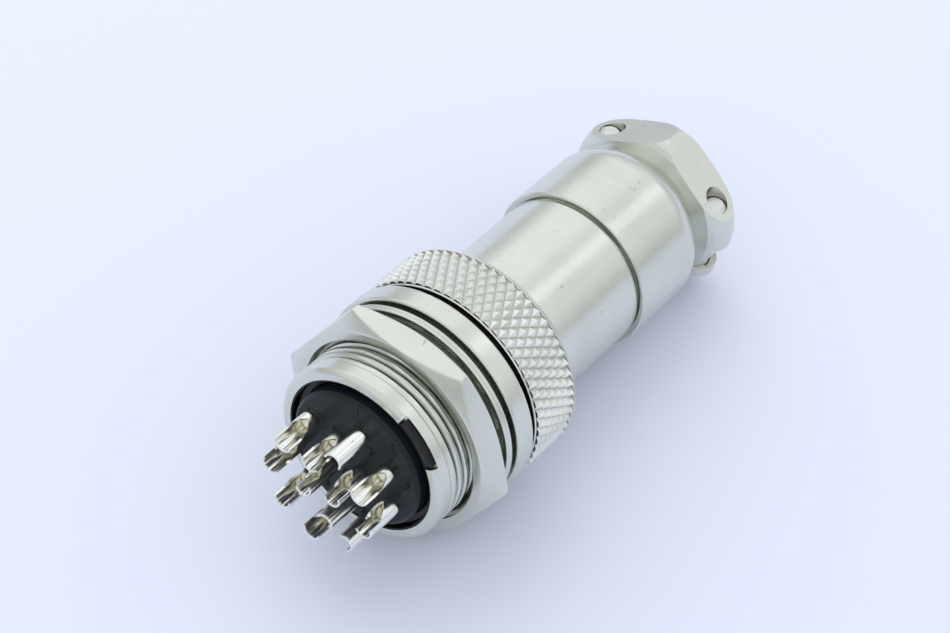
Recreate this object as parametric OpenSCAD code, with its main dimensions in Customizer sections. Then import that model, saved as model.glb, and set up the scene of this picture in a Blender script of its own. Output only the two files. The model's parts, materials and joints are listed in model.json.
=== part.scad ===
// Round aviation plug connector: a panel receptacle and its cable plug, mated.
// The common axis is +X, from the solder cups towards the cable; the origin is
// the centre of the receptacle's rear rim, and angles about X start at +Y.

/* [Receptacle shell] */
// Diameter of the panel thread and of the front coupling thread
thread_d = 20; // [19:0.5:21]
// Length of the panel thread, from its rim to the flange
panel_thread_l = 10.05; // [9.8:0.05:12]
// Bore at the rim of the panel thread
rim_bore_d = 17.56; // [17.4:0.02:17.8]
// Height of the flange over the thread
flange_w = 2; // [1.5:0.1:3]
// Thickness of the flange
flange_t = 2.5; // [2:0.1:3]
// Length of the front coupling tube, from the flange
front_tube_l = 5.2; // [5:0.1:6]
// Bore of the front coupling tube
front_bore_d = 17; // [16.9:0.05:17.2]
// Thickness of the web that both bores stop at
web_t = 1.6; // [1.2:0.1:2]
// Width of the rim notch, as an angle
notch_angle = 35; // [30:1:40]
// Depth of the rim notch
notch_depth = 0.6; // [0.5:0.1:0.8]
// Direction of the rim notch, about X
notch_dir = 133.5; // [120:0.5:150]

/* [Contacts] */
// Number of contacts on the outer ring
outer_contacts = 8; // [8:1:8]
// Radius of the outer ring of contacts
outer_ring_r = 5.9; // [5.8:0.05:6]
// Angle from one outer contact to the next
outer_pitch_angle = 42; // [41:0.5:43]
// Half the long diagonal of the four inner contacts
inner_long = 3.65; // [3.5:0.05:3.7]
// Half the short diagonal of the four inner contacts
inner_short = 1.85; // [1.8:0.05:2]
// Direction of the pattern's line of symmetry, about X
pattern_dir = 70; // [60:1:80]
// Diameter of the male pin
pin_d = 1; // [0.9:0.05:1.1]
// Length of the male pin in front of the insulator
pin_l = 7; // [6:0.1:7.2]
// Diameter of a contact's shank inside the insulator
shank_d = 1.5; // [1.4:0.05:1.6]
// Diameter of the stem behind the insulator
stem_d = 1.24; // [1.1:0.02:1.3]
// Length of the stem behind the insulator
stem_l = 1.55; // [1.4:0.05:2]
// Outer diameter of a solder cup
cup_d = 2.05; // [1.9:0.05:2.1]
// Bore of a solder cup
cup_bore_d = 1.55; // [1.4:0.05:1.6]
// Length of a solder cup
cup_l = 4.3; // [4:0.1:4.6]
// Length of the open, cut-away side of a solder cup
cup_open_l = 3.6; // [3:0.1:3.8]
// Depth of a solder cup's bore
cup_bore_l = 3.9; // [3.6:0.1:4]
// Length of the pin's rounded nose
nose_l = 0.4; // [0.3:0.05:0.5]
// Collar inside the insulator: its height over the shank
collar_h = 0.25; // [0.2:0.05:0.3]
// Collar inside the insulator: its length
collar_l = 1.1; // [0.9:0.1:1.3]
// Outer diameter of the socket that takes the pin
socket_d = 1.9; // [1.8:0.05:2]
// Depth of the socket's bore
socket_depth = 7.2; // [7:0.1:7.6]
// Distance from the sleeve's end to the socket's mouth
mouth_recess = 0.5; // [0.4:0.05:0.6]
// Flare of the socket's mouth
mouth_flare = 0.19; // [0.1:0.01:0.25]

/* [Receptacle insulator] */
// Distance that the insulator's rear face stands out of the rim
insulator_proud = 0.65; // [0.3:0.05:1]
// Diameter of the insulator's rear boss
rear_boss_d = 15.7; // [15.5:0.05:15.8]
// Chamfer round the rear boss
rear_boss_chamfer = 0.35; // [0.2:0.05:0.5]
// Depth of the retaining ring below the rim
ring_depth = 1; // [0.8:0.05:1.2]
// Thickness of the retaining ring
ring_t = 0.85; // [0.7:0.05:1]

/* [Panel nut and washer] */
// Wall of the panel nut over the thread, at its flats
nut_wall = 1.75; // [1.5:0.05:2]
// Thickness of the panel nut
nut_t = 3.15; // [2.5:0.05:3.4]
// Length of bare thread behind the nut
bare_thread_l = 4.5; // [4:0.1:4.8]
// Width of the washer's ring
washer_w = 1.6; // [1.2:0.1:1.9]
// Thickness of the washer
washer_t = 0.85; // [0.6:0.05:0.9]
// Gap between the washer and the flange
washer_gap = 0.55; // [0.5:0.05:0.6]

/* [Coupling nut] */
// Wall of the coupling nut over the thread, at the knurl's points
coupling_wall = 1.95; // [1.8:0.05:2.4]
// Depth of the knurl
knurl_depth = 0.42; // [0.3:0.02:0.5]
// Number of diamonds round the knurl
knurl_count = 60; // [48:1:64]
// Number of half diamonds along the knurl
knurl_rows = 6; // [4:1:7]
// Gap between the flange and the coupling nut
nut_gap = 0.9; // [0.8:0.1:1.2]
// Length of the coupling nut
coupling_l = 7.1; // [7:0.1:8]
// Width of the plain rim in front of the knurl
front_band = 0.15; // [0.1:0.05:0.4]
// Width of the tapered band behind the knurl
rear_band = 1.15; // [1:0.05:1.4]
// How far the rear band tapers in
rear_taper = 0.85; // [0.6:0.05:1]
// Thickness of the inner lip
lip_t = 1.35; // [1.2:0.05:1.5]

/* [Plug shell] */
// Diameter of the smooth front barrel
barrel_d = 17.5; // [17.4:0.05:17.7]
// Length of the front barrel behind the shoulder
barrel_l = 15.75; // [15:0.05:17]
// Bore of the plug shell
shell_bore_d = 15.2; // [15.1:0.05:15.3]
// Distance from the web to the plug's sleeve
sleeve_gap = 0.6; // [0.5:0.05:0.8]
// Thickness of the shoulder that the nut pulls on
shoulder_t = 1.3; // [1.2:0.05:1.5]
// Diameter of the threaded rear spigot
spigot_d = 16.9; // [16.8:0.05:17]
// Length of the threaded rear spigot
spigot_l = 5.15; // [5:0.05:6]
// Width of the polarising rib
rib_w = 2; // [1.8:0.1:2.2]
// Height of the polarising rib
rib_h = 0.75; // [0.6:0.05:0.8]
// Clearance on each side of the rib, in its slot
slot_fit = 0.15; // [0.1:0.05:0.2]
// How far the plug insulator's face lies inside the sleeve
insulator_sunk = 0.25; // [0.2:0.05:0.4]

/* [Plug insulator] */
// Length of the plug insulator behind its front lip
plug_insulator_l = 10; // [9.6:0.1:10.4]
// Step in the plug insulator, so that it clears the slotted part of the sleeve
relief = 0.25; // [0.2:0.05:0.3]
// Thickness of the plug insulator's retaining ring
plug_ring_t = 1.1; // [1:0.1:1.4]

// Gap between the solder cups and that ring
cup_gap = 0.15; // [0.1:0.05:0.2]

/* [Back shell] */
// Diameter of the rear barrel
rear_barrel_d = 18.7; // [18.5:0.1:19]
// Length of the rear barrel
rear_barrel_l = 8.4; // [8.2:0.1:9]
// Clear space behind the spigot's thread
thread_relief = 0.4; // [0.3:0.1:0.6]
// Width of the groove between the two barrels
joint_groove = 0.3; // [0.2:0.05:0.4]
// Length of the rounded shoulder
taper_l = 4.15; // [3.8:0.05:4.6]
// Diameter of the waist in front of the clamp head
waist_d = 13.9; // [13.6:0.1:14.2]
// Bore of the waist
waist_bore_d = 10.8; // [10.6:0.1:11.2]
// Outer diameter of the insulating liner
liner_d = 14.4; // [14.2:0.1:14.5]
// Wall of the insulating liner
liner_wall = 0.6; // [0.5:0.05:0.8]
// Front end of the liner, behind the solder cups
liner_front_gap = 1; // [0.8:0.1:1.5]

/* [Cable clamp] */
// Largest diameter of the clamp head
head_d = 19.7; // [19.4:0.1:20]
// Length of the clamp head
head_l = 5.3; // [5:0.1:5.6]
// Diameter at the head's front and rear corners
head_corner_d = 15.9; // [15.6:0.1:16.2]
// Bore that grips the cable
cable_d = 10; // [9.6:0.1:10.2]
// Distance from the axis to each sloping flat
flat_r = 8.15; // [8.05:0.05:8.3]
// Slope of each flat
flat_slope = 33; // [30:1:35]
// Direction of the ridge between the flats, about X
head_dir = 94.5; // [80:0.5:110]
// Outer diameter of the saddle
saddle_d = 17.8; // [17.6:0.1:18.2]
// Gap between the two halves of the clamp
split_gap = 0.15; // [0.1:0.05:0.3]
// Distance of each clamp screw from the axis
screw_offset = 7; // [6.9:0.05:7.1]
// Diameter of a clamp screw
screw_d = 2.5; // [2.4:0.1:2.6]
// Diameter of a clamp screw's head
screw_head_d = 4.2; // [4:0.1:4.4]
// Height of a clamp screw's head
screw_head_h = 1.5; // [1.3:0.1:1.6]
// Depth of the saddle above the screw heads
saddle_grip = 3.5; // [3.3:0.1:3.6]

/* [Clearances] */
// Radial clearance of the washer on the thread
washer_fit = 0.1; // [0.05:0.01:0.1]
// Radial clearance in threads, bores and running fits
running = 0.06; // [0.03:0.01:0.1]
// Radial clearance round pieces that are fixed in place
seat = 0.03; // [0.02:0.01:0.05]
// Small edge chamfer
edge = 0.25; // [0.1:0.05:0.3]

/* [Hidden] */
$fn = 96;
contacts = outer_contacts + 4;

// Overrun of a cut past the face it starts from
over = 1;
// Straight steps in each rounded outline
steps = 10;

// Stations along the axis
x_flange = panel_thread_l;
x_front = x_flange + flange_t;
x_tube_end = x_front + front_tube_l;
x_web = x_flange - 1.05;
x_web_front = x_web + web_t;
x_nut = bare_thread_l;
x_washer = x_flange - washer_gap - washer_t;
x_boss_front = x_web_front + 0.3;
x_sleeve = x_web_front + sleeve_gap;
x_shoulder = x_tube_end + seat;
x_barrel = x_shoulder + shoulder_t;
x_coupling = x_front + nut_gap;
x_lip = x_coupling + coupling_l - lip_t;
x_coupling_end = x_coupling + coupling_l;
x_barrel_end = x_barrel + barrel_l;
x_spigot_end = x_barrel_end + spigot_l;
x_plug_ins = x_sleeve + 0.8;
x_plug_ins_end = x_plug_ins + plug_insulator_l;
x_cup_end = x_plug_ins_end + stem_l + cup_l;
x_back = x_barrel_end + joint_groove;
x_taper = x_back + rear_barrel_l;
x_waist = x_taper + taper_l;
x_head_mid = x_waist + head_l / 2;
x_head_end = x_waist + head_l;
x_liner = x_cup_end + liner_front_gap;
x_liner_end = x_taper + 0.4;

// Radii that several pieces share
thread_r = thread_d / 2;
insulator_r = rim_bore_d / 2 - seat;
front_boss_r = rear_boss_d / 2 + 0.05;
sleeve_r = front_bore_d / 2 - 0.1;
shoulder_r = thread_r - 0.45;
plug_ins_r = shell_bore_d / 2 - seat;
front_lip_r = shell_bore_d / 2 - 0.5;
hole_r = shank_d / 2 + seat;
collar_r = shank_d / 2 + collar_h;
flange_r = thread_r + flange_w;
washer_r = thread_r + washer_fit + washer_w;
crest_r = thread_r + coupling_wall;
socket_hole_r = socket_d / 2 + seat;
liner_bore_r = liner_d / 2 - liner_wall;
lip_r = barrel_d / 2 + 0.1;
head_angle = head_dir - 90;

// Contact places, in the plane across the axis, from the line of symmetry
function outer_angle(i) = (i - (outer_contacts - 1) / 2) * outer_pitch_angle + 180;
function outer_place(i) = outer_ring_r * [cos(outer_angle(i)), sin(outer_angle(i))];
inner_places = [[inner_long, 0], [0, inner_short], [-inner_long, 0], [0, -inner_short]];
function contact_place(i) = i < outer_contacts ? outer_place(i) : inner_places[i - outer_contacts];

// Direction that each solder cup opens towards, about X
cup_dirs = [285, 115, 60, 325, 95, 85, 120, 105, 115, 65, 295, 55];

function two_digits(i) = str(i < 9 ? "0" : "", i + 1);
function pin_name(i) = str("pin_contact_", two_digits(i));
function socket_name(i) = str("socket_contact_", two_digits(i));

// Turns local +Z into +X, and local +Y stays +Y
module along_x() {
    rotate([0, 90, 0]) children();
}

// Solid of revolution about X from [radius, x] points
module turned(points) {
    along_x() rotate_extrude() polygon(points);
}

// Straight round bar on the X axis
module bar(r, from, to) {
    along_x() translate([0, 0, from]) cylinder(r = r, h = to - from);
}

// Bar at a place [y, z] across the axis
module bar_at(place, r, from, to) {
    translate([0, place[0], place[1]]) bar(r, from, to);
}

// The children once at every contact, turned into the shared pattern
module at_contacts() {
    rotate([pattern_dir, 0, 0])
        for (i = [0 : contacts - 1])
            translate([0, contact_place(i)[0], contact_place(i)[1]]) children();
}

// Sector of a turned ring, centred on direction dir
module sector(inner, outer, from, to, angle, dir) {
    rotate([dir - angle / 2, 0, 0])
        rotate([0, 90, 0]) rotate([0, 0, 90])
            translate([0, 0, from])
                rotate_extrude(angle = angle) translate([inner, 0]) square([outer - inner, to - from]);
}

// Solder cup on a stem, from x = 0 back to -(stem_l + cup_l), open towards +Z
module solder_cup() {
    cup_r = cup_d / 2;
    wall = (cup_d - cup_bore_d) / 2;
    cup_end = -(stem_l + cup_l);
    open_x = cup_end + cup_open_l;
    difference() {
        turned([
            [0, 0],
            [stem_d / 2, 0],
            [stem_d / 2, -stem_l],
            [cup_r - wall / 2, -stem_l],
            [cup_r, -stem_l - wall / 2],
            [cup_r, cup_end + wall / 3],
            [cup_r - wall / 3, cup_end],
            [0, cup_end]
        ]);
        bar(cup_bore_d / 2, cup_end - over, cup_end + cup_bore_l);
        // The open side: a straight cut that ends in a round
        translate([cup_end - over, -cup_d, cup_r / 8])
            cube([cup_open_l - cup_r + over, 2 * cup_d, cup_d]);
        translate([open_x - cup_r, 0, cup_r / 8])
            cylinder(r = cup_r, h = cup_d);
    }
}

module receptacle_shell() {
    rim_r = rim_bore_d / 2;
    bore_r = front_bore_d / 2;
    color("lightgray") {
        difference() {
            turned([
                [rim_r, 0],
                [thread_r - 0.4, 0],
                [thread_r, 0.4],
                [thread_r, x_flange],
                [flange_r - edge, x_flange],
                [flange_r, x_flange + edge],
                [flange_r, x_front - edge],
                [flange_r - edge, x_front],
                [thread_r, x_front],
                [thread_r, x_tube_end - 0.4],
                [thread_r - 0.4, x_tube_end],
                [bore_r, x_tube_end],
                [bore_r, x_web_front],
                [front_boss_r + seat, x_web_front],
                [front_boss_r + seat, x_web],
                [rim_r, x_web]
            ]);
            sector(rim_r - over, thread_r + over, -over, notch_depth, notch_angle, notch_dir);
        }
        // Polarising rib along the front bore, opposite the middle of the pattern
        rotate([notch_dir, 0, 0])
            intersection() {
                translate([x_web_front - 0.2, bore_r - rib_h, -rib_w / 2])
                    cube([x_tube_end - x_web_front - 0.3, rib_h + 0.4, rib_w]);
                bar(bore_r + 0.3, x_web, x_tube_end);
            }
    }
}

module receptacle_insulator() {
    boss_r = rear_boss_d / 2;
    x_body = ring_depth + ring_t + seat;
    color("darkslategray")
        difference() {
            turned([
                [0, -insulator_proud],
                [boss_r - rear_boss_chamfer, -insulator_proud],
                [boss_r, rear_boss_chamfer - insulator_proud],
                [boss_r, x_body],
                [insulator_r, x_body],
                [insulator_r, x_web - seat],
                [front_boss_r, x_web - seat],
                [front_boss_r, x_boss_front],
                [0, x_boss_front]
            ]);
            at_contacts() {
                bar(hole_r, -insulator_proud - over, x_boss_front + over);
                bar(collar_r + seat, x_body, x_body + 2 * seat + collar_l);
            }
        }
}

module retaining_ring() {
    inner = rear_boss_d / 2 + seat;
    tab_angle = notch_angle - 3;
    color("black") {
        difference() {
            bar(insulator_r, ring_depth, ring_depth + ring_t);
            bar(inner, ring_depth - over, ring_depth + ring_t + over);
        }
        // Locating tab: up the bore wall and out into the rim notch
        sector(inner + 0.15, insulator_r - 0.05, 0.1, ring_depth + ring_t / 2, tab_angle, notch_dir);
        sector(inner + 0.3, thread_r - 0.25, 0.1, notch_depth - seat, tab_angle - 1, notch_dir);
    }
}

// Male contact: solder cup, stem, collared shank and round-nosed pin
module pin_contact(i) {
    place = contact_place(i);
    x_collar = ring_depth + ring_t + 2 * seat;
    color("silver")
        rotate([pattern_dir, 0, 0])
            translate([0, place[0], place[1]])
                rotate([cup_dirs[i] - 90 - pattern_dir, 0, 0]) {
                    translate([-insulator_proud, 0, 0]) solder_cup();
                    turned([
                        [0, -insulator_proud],
                        [shank_d / 2, -insulator_proud],
                        [shank_d / 2, x_collar],
                        [collar_r, x_collar],
                        [collar_r, x_collar + collar_l],
                        [shank_d / 2, x_collar + collar_l],
                        [shank_d / 2, x_boss_front],
                        [pin_d / 2, x_boss_front],
                        [pin_d / 2, x_boss_front + pin_l - nose_l],
                        [pin_d / 3, x_boss_front + pin_l - nose_l / 4],
                        [pin_d / 6, x_boss_front + pin_l],
                        [0, x_boss_front + pin_l]
                    ]);
                }
}

module panel_washer() {
    inner = thread_r + washer_fit;
    round_over = washer_t / 4;
    color("silver")
        turned([
            [inner, x_washer],
            [washer_r - round_over, x_washer],
            [washer_r, x_washer + round_over],
            [washer_r, x_washer + washer_t],
            [inner, x_washer + washer_t]
        ]);
}

module panel_nut() {
    flat_d = thread_r + nut_wall;
    corner_r = flat_d / cos(30);
    outer = corner_r + edge;
    face_r = flat_d - edge / 2;
    bevel = (outer - face_r) * tan(30);
    bore_r = thread_r + running;
    mouth_r = bore_r + nut_wall / 3;
    mouth_l = nut_wall / 3;
    x_end = x_nut + nut_t;
    color("lightgray")
        difference() {
            intersection() {
                rotate([30, 0, 0])
                    along_x() translate([0, 0, x_nut]) cylinder(r = corner_r, h = nut_t, $fn = 6);
                turned([
                    [0, x_nut],
                    [face_r, x_nut],
                    [outer, x_nut + bevel],
                    [outer, x_end - bevel],
                    [face_r, x_end],
                    [0, x_end]
                ]);
            }
            turned([
                [0, x_nut - over],
                [mouth_r, x_nut - over],
                [mouth_r, x_nut],
                [bore_r, x_nut + mouth_l],
                [bore_r, x_end - mouth_l],
                [mouth_r, x_end],
                [mouth_r, x_end + over],
                [0, x_end + over]
            ]);
        }
}

// Radius of the knurl at a grid point: a point and a groove crossing alternate
function knurl_r(i, j) = (i + j) % 2 == 0 ? crest_r : crest_r - knurl_depth;

// Closed ring of pointed diamonds, from inner radius outwards, about X
module knurl_band(inner, from, to) {
    n = 2 * knurl_count;
    m = knurl_rows;
    step = (to - from) / m;
    outside = [for (j = [0 : m]) for (i = [0 : n - 1])
        let (r = knurl_r(i, j), a = i * 360 / n) [from + j * step, r * cos(a), r * sin(a)]];
    inside = [for (x = [from, to]) for (i = [0 : n - 1])
        let (a = i * 360 / n) [x, inner * cos(a), inner * sin(a)]];
    near = n * (m + 1);
    far = near + n;
    slopes = [for (j = [0 : m - 1]) for (i = [0 : n - 1])
        let (a = j * n + i, b = j * n + (i + 1) % n, c = b + n, d = a + n)
            each (i + j) % 2 == 0 ? [[a, d, b], [b, d, c]] : [[a, c, b], [a, d, c]]];
    ends = [for (i = [0 : n - 1])
        let (k = (i + 1) % n)
            each [[near + i, i, k, near + k], [m * n + i, far + i, far + k, m * n + k],
                [far + i, near + i, near + k, far + k]]];
    polyhedron(points = concat(outside, inside), faces = concat(slopes, ends), convexity = 4);
}

module coupling_nut() {
    core_r = crest_r - knurl_depth - seat;
    band_r = crest_r - seat;
    bore_r = thread_r + running;
    mouth = 0.4;
    x_knurl = x_coupling + front_band;
    x_knurl_end = x_coupling_end - rear_band;
    color("lightgray") {
        turned([
            [bore_r + mouth, x_coupling],
            [core_r - front_band / 2, x_coupling],
            [core_r, x_coupling + front_band / 2],
            [core_r, x_knurl_end + running],
            [band_r, x_knurl_end + running],
            [band_r - rear_taper, x_coupling_end - edge / 2],
            [band_r - rear_taper - edge / 2, x_coupling_end],
            [lip_r, x_coupling_end],
            [lip_r, x_lip],
            [bore_r, x_lip],
            [bore_r, x_coupling + mouth]
        ]);
        knurl_band((core_r + bore_r) / 2, x_knurl, x_knurl_end);
    }
}

module plug_shell() {
    bore_r = shell_bore_d / 2;
    barrel_r = barrel_d / 2;
    spigot_r = spigot_d / 2;
    color("lightgray")
        difference() {
            turned([
                [front_lip_r, x_sleeve],
                [sleeve_r - 0.2, x_sleeve],
                [sleeve_r, x_sleeve + 0.2],
                [sleeve_r, x_shoulder],
                [shoulder_r, x_shoulder],
                [shoulder_r, x_barrel],
                [barrel_r, x_barrel],
                [barrel_r, x_barrel_end - 0.15],
                [barrel_r - 0.15, x_barrel_end],
                [spigot_r, x_barrel_end],
                [spigot_r, x_spigot_end - 0.3],
                [spigot_r - 0.3, x_spigot_end],
                [bore_r, x_spigot_end],
                [bore_r, x_plug_ins],
                [front_lip_r, x_plug_ins]
            ]);
            // Slot that the receptacle's polarising rib slides into
            rotate([notch_dir, 0, 0])
                translate([x_sleeve - over, bore_r - over, -rib_w / 2 - slot_fit])
                    cube([x_shoulder - x_sleeve + over - slot_fit, 2 * over + rib_h, rib_w + 2 * slot_fit]);
        }
}

module plug_insulator() {
    front_r = front_lip_r - seat;
    neck_r = plug_ins_r - relief;
    color("darkslategray")
        difference() {
            turned([
                [0, x_sleeve + insulator_sunk],
                [front_r, x_sleeve + insulator_sunk],
                [front_r, x_plug_ins + seat],
                [neck_r, x_plug_ins + seat],
                [neck_r, x_shoulder],
                [plug_ins_r, x_shoulder],
                [plug_ins_r, x_plug_ins_end],
                [0, x_plug_ins_end]
            ]);
            at_contacts() bar(socket_hole_r, x_sleeve - over, x_plug_ins_end + over);
        }
}

module plug_insulator_ring() {
    inner = outer_ring_r + cup_d / 2 + cup_gap;
    x_ring = x_plug_ins_end + seat;
    color("black")
        difference() {
            bar(plug_ins_r, x_ring, x_ring + plug_ring_t);
            bar(inner, x_ring - over, x_ring + plug_ring_t + over);
        }
}

// Female contact: bored barrel in the insulator, stem and solder cup behind it
module socket_contact(i) {
    place = contact_place(i);
    x_mouth = x_sleeve + mouth_recess;
    bore_r = pin_d / 2 + running;
    color("gold")
        rotate([pattern_dir, 0, 0])
            translate([0, place[0], place[1]]) {
                turned([
                    [bore_r + mouth_flare, x_mouth],
                    [socket_d / 2, x_mouth],
                    [socket_d / 2, x_plug_ins_end],
                    [0, x_plug_ins_end],
                    [0, x_mouth + socket_depth],
                    [bore_r, x_mouth + socket_depth],
                    [bore_r, x_mouth + mouth_flare]
                ]);
                translate([x_plug_ins_end, 0, 0])
                    rotate([0, 180, 0])
                        rotate([180 - cup_dirs[i], 0, 0]) solder_cup();
            }
}

module insulating_liner() {
    outer = liner_d / 2;
    color("white")
        turned([
            [liner_bore_r, x_liner],
            [outer - 0.2, x_liner],
            [outer, x_liner + 0.2],
            [outer, x_liner_end],
            [liner_bore_r, x_liner_end]
        ]);
}

// Outline of the rounded shoulder: falls from the barrel to the waist
function taper_point(t) = let (
    start = rear_barrel_d / 2,
    drop = (rear_barrel_d - waist_d) / 2
) [start - drop * pow(t, 1.75), x_taper + taper_l * t];

// Outline of the head's rounded rim: half an ellipse round the head's middle
function rim_point(a) = let (
    corner = head_corner_d / 2,
    rise = (head_d - head_corner_d) / 2
) [corner + rise * sin(a), x_head_mid - (head_l / 2 - 0.3) * cos(a)];

module back_shell() {
    liner_seat_r = liner_d / 2 + 0.1;
    color("lightgray")
        difference() {
            union() {
                turned(concat(
                    [[0, x_back], [rear_barrel_d / 2 - 0.15, x_back], [rear_barrel_d / 2, x_back + 0.15]],
                    [for (k = [0 : steps]) taper_point(k / steps)],
                    [[waist_d / 2, x_waist + 0.15], [0, x_waist + 0.15]]
                ));
                // Fixed half of the clamp, above the split
                rotate([head_angle, 0, 0])
                    intersection() {
                        turned(concat(
                            [[0, x_waist - edge], [waist_d / 2 - 2 * edge, x_waist - edge]],
                            [[waist_d / 2, x_waist]],
                            [for (k = [0 : steps]) rim_point(180 * k / steps)],
                            [[head_corner_d / 2 - 0.6, x_head_end], [0, x_head_end]]
                        ));
                        translate([x_waist - over, -head_d, split_gap / 2])
                            cube([head_l + 2 * over, 2 * head_d, head_d]);
                        for_flats();
                    }
            }
            bar(spigot_d / 2 + running, x_back - over, x_spigot_end + thread_relief);
            bar(liner_seat_r, x_back, x_liner_end + seat);
            bar(waist_bore_d / 2, x_back, x_waist + 0.3);
            bar(cable_d / 2, x_back, x_head_end + over);
            screw_holes(screw_d / 2 + running, -head_d, head_d);
        }
}

// Room under both sloping flats
module for_flats() {
    span = 4 * head_d;
    intersection() {
        rotate([flat_slope, 0, 0])
            translate([x_waist - over, -span / 2, flat_r - span]) cube([head_l + 2 * over, span, span]);
        rotate([-flat_slope, 0, 0])
            translate([x_waist - over, -span / 2, flat_r - span]) cube([head_l + 2 * over, span, span]);
    }
}

// Both clamp screw holes, between two heights along the screws
module screw_holes(r, low, high) {
    rotate([head_angle, 0, 0])
        for (side = [-1, 1])
            translate([x_head_mid, side * screw_offset, low]) cylinder(r = r, h = high - low);
}

module clamp_saddle() {
    corner = saddle_d / 2;
    color("lightgray")
        difference() {
            rotate([head_angle, 0, 0])
                intersection() {
                    turned([
                        [0, x_waist + 0.3],
                        [waist_d / 2, x_waist + 0.3],
                        [corner - 0.5, x_waist + 0.9],
                        [corner, x_waist + 1.6],
                        [corner, x_head_end - 0.8],
                        [corner - 0.3, x_head_end - 0.25],
                        [corner - 0.9, x_head_end],
                        [0, x_head_end]
                    ]);
                    translate([x_waist - over, -head_d, -head_d - split_gap / 2])
                        cube([head_l + 2 * over, 2 * head_d, head_d]);
                }
            bar(cable_d / 2, x_waist - over, x_head_end + over);
            screw_holes(screw_d / 2 + 0.15, -head_d, head_d);
            screw_holes(screw_head_d / 2 + 0.2, -head_d, -saddle_grip);
        }
}

// Slotted screw from below: head against the saddle, tip just under the flat
module clamp_screw(side) {
    r = screw_d / 2;
    head_r = screw_head_d / 2;
    tip = (flat_r - screw_offset * sin(flat_slope)) / cos(flat_slope) - 0.5;
    top = -saddle_grip - seat;
    color("silver")
        rotate([head_angle, 0, 0])
            translate([x_head_mid, side * screw_offset, 0])
                difference() {
                    rotate_extrude()
                        polygon([
                            [0, top - screw_head_h],
                            [head_r - 0.3, top - screw_head_h],
                            [head_r, top - screw_head_h + 0.3],
                            [head_r, top],
                            [r, top],
                            [r, tip - 0.35],
                            [r - 0.4, tip],
                            [0, tip]
                        ]);
                    translate([0, 0, top - screw_head_h])
                        cube([screw_head_d + 1, 0.6, 1.4], center = true);
                }
}

receptacle_shell();
receptacle_insulator();
retaining_ring();
for (i = [0 : contacts - 1]) {
    pin_contact(i);
    socket_contact(i);
}
panel_washer();
panel_nut();
coupling_nut();
plug_shell();
plug_insulator();
plug_insulator_ring();
insulating_liner();
back_shell();
clamp_saddle();
clamp_screw(-1);  // clamp_screw_1
clamp_screw(1);  // clamp_screw_2
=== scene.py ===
"""Visual model of a circular aviation connector pair, built around its CAD frame.

Shapes are worked out in millimetres along the shared axis X and become metres in their mesh.
"""

import json
import logging
import math
from collections.abc import Callable
from dataclasses import dataclass, field
from enum import Enum

import bpy
import numpy as np
from mathutils import Matrix

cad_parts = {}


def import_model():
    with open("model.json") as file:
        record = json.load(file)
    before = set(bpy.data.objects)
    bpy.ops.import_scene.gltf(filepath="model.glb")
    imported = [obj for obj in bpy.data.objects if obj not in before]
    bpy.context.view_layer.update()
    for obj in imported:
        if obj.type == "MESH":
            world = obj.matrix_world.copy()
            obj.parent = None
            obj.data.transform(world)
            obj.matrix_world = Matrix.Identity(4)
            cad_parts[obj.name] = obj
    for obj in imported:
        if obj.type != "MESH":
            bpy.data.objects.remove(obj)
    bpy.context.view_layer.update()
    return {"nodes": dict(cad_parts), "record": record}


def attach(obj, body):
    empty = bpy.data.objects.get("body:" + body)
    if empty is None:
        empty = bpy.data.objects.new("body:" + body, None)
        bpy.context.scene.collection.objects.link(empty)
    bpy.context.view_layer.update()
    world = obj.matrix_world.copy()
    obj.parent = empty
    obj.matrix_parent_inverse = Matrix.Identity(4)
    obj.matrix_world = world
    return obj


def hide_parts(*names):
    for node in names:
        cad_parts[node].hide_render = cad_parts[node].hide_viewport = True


MM = 0.001
# Directions round the axis in every turned piece.
TURNS = 360
# Largest share of an edge that the easing of a corner takes.
EASE_SHARE = 0.45
# Half the width in degrees of a step's side, such as a notch's.
SIDE_HALF = 0.02
# Depth in mm over which painted shade darkens a sunk surface, and the shares of it where that starts
# and ends.
ROOT_DEPTH, ROOT_SHADE = 0.4, (0.35, 0.9)
# A thread's groove: its height before clipping to 1, and how fast its flanks fall from it.
GROOVE_TOP, GROOVE_FLANK = 1.15, 1.9
# Direction of the notch, tab, rib and slot round the axis, in degrees.
KEY_WAY = 133.5
# Sockets of a Mix node set to colours.
MIX_FACTOR, MIX_FIRST, MIX_SECOND, MIX_RESULT = 0, 6, 7, 2
log = logging.getLogger("connector")


class Slot(Enum):
    """Material slots of the record."""

    NICKEL = "nickel_plate"
    SILVER = "contact_silver"
    GOLD = "contact_gold"
    SLATE = "dark_insulator"
    BLACK = "black_plastic"
    LINER = "liner_plastic"
    STEEL = "screw_steel"


# ---------------------------------------------------------------- shapes


def rounded(points: list, radius: float, steps: int = 4) -> np.ndarray:
    """Closed outline with every corner eased by a short parabola.

    Args:
        points: corners as (x, r), with an optional own reach as a third number.
        radius: reach of the easing along each edge, in mm.
        steps: points per corner less one.

    Returns:
        Array (n, 2) of (x, r).
    """
    corners = np.array([p[:2] for p in points], float)
    reach = np.array([p[2] if len(p) > 2 else radius for p in points], float)
    before, after = np.roll(corners, 1, 0) - corners, np.roll(corners, -1, 0) - corners
    len_b = np.linalg.norm(before, axis=1, keepdims=True)
    len_a = np.linalg.norm(after, axis=1, keepdims=True)
    reach = np.minimum(reach, EASE_SHARE * np.minimum(len_a, len_b)[:, 0])[:, None]
    start, end = corners + before / len_b * reach, corners + after / len_a * reach
    t = np.linspace(0, 1, steps + 1)[None, :, None]
    curve = (1 - t) ** 2 * start[:, None] + 2 * t * (1 - t) * corners[:, None] + t**2 * end[:, None]
    return curve.reshape(-1, 2)


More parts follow.
